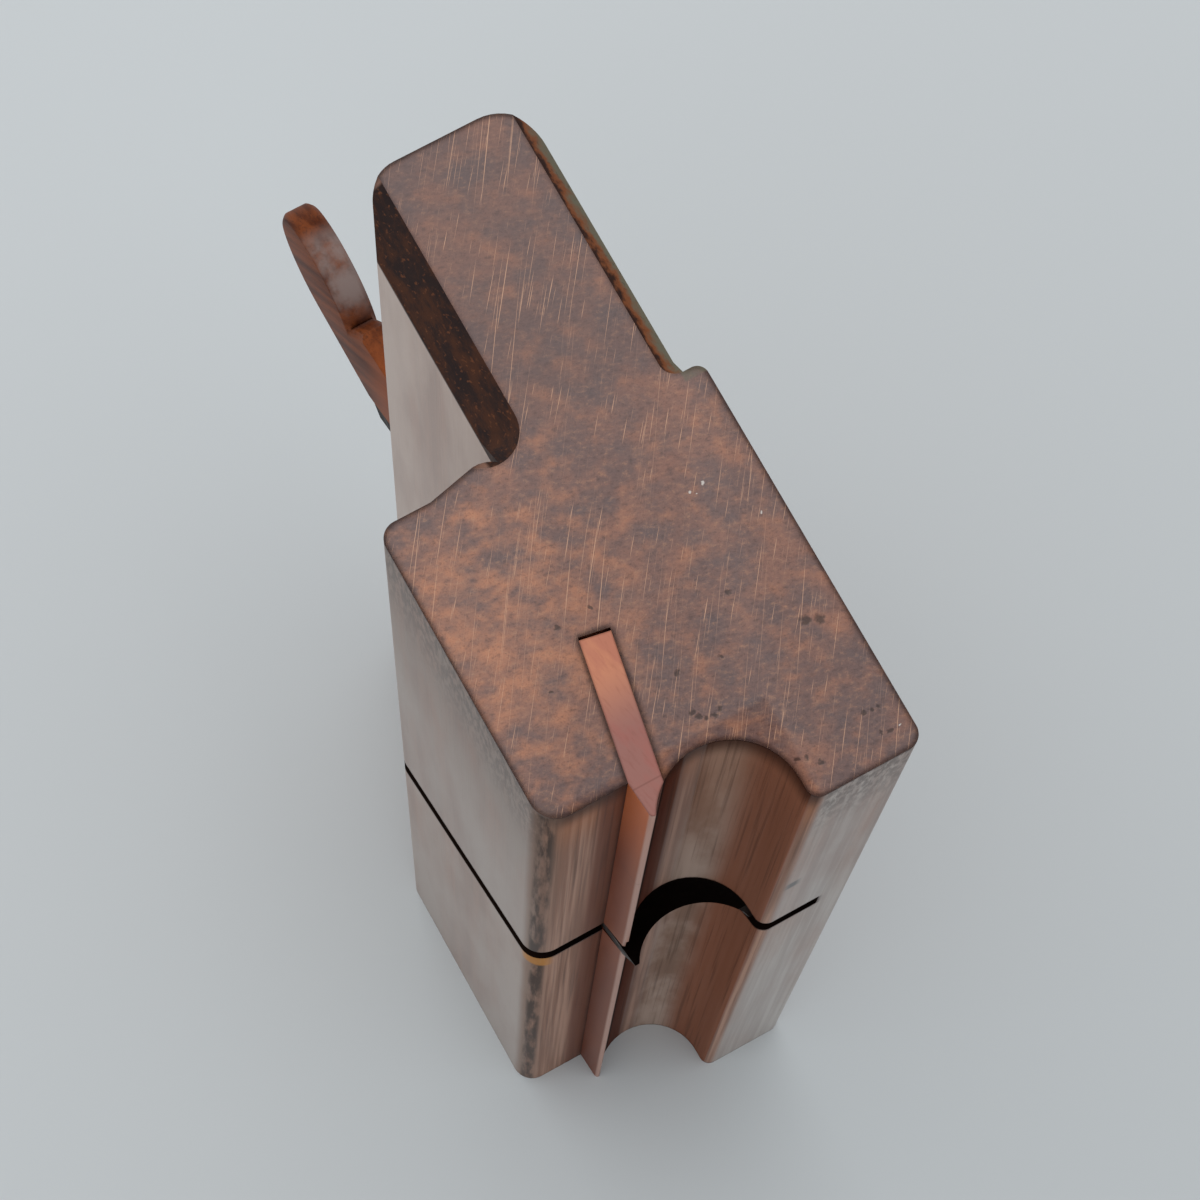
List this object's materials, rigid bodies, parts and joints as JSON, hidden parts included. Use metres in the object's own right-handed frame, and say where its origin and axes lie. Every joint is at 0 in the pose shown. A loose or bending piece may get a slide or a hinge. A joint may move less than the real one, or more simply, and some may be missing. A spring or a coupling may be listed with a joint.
{
  "type": "wooden moulding plane",
  "caption": "Boxed side bead moulding plane of beech with a wedged, profiled iron, a side escapement and a boxwood quirk.",
  "frame": {"origin": "middle of the heel end, which the plane stands on: half way across its flanks, and half way between the lowest line of the sole and the top of the grip", "axes": "+Z along the stock from heel to toe, +Y from the sole to the top of the grip, +X from the blind flank to the flank of the fence and the escapement"},
  "size_m": [0.0464, 0.1548, 0.241],
  "materials": {
    "beech": "old oiled and waxed, worn",
    "boxwood": "worn smooth",
    "tool_steel": "dark, lapped at the edge"
  },
  "bodies": {
    "stock": {"stock": "beech", "boxing_slip_1": "boxwood", "boxing_slip_2": "boxwood", "boxing_slip_3": "boxwood", "boxing_slip_4": "boxwood", "boxing_slip_5": "boxwood"},
    "wedge": {"wedge": "beech"},
    "iron": {"iron": "tool_steel"}
  },
  "joints": [
    {"name": "wedge_slide", "type": "slide", "parent": "stock", "child": "wedge", "axis": [0, 0.866, -0.5], "range_m": [0, 0.07]},
    {"name": "iron_slide", "type": "slide", "parent": "stock", "child": "iron", "axis": [0, -0.8192, 0.5736], "range_m": [-0.004, 0.1]}
  ]
}
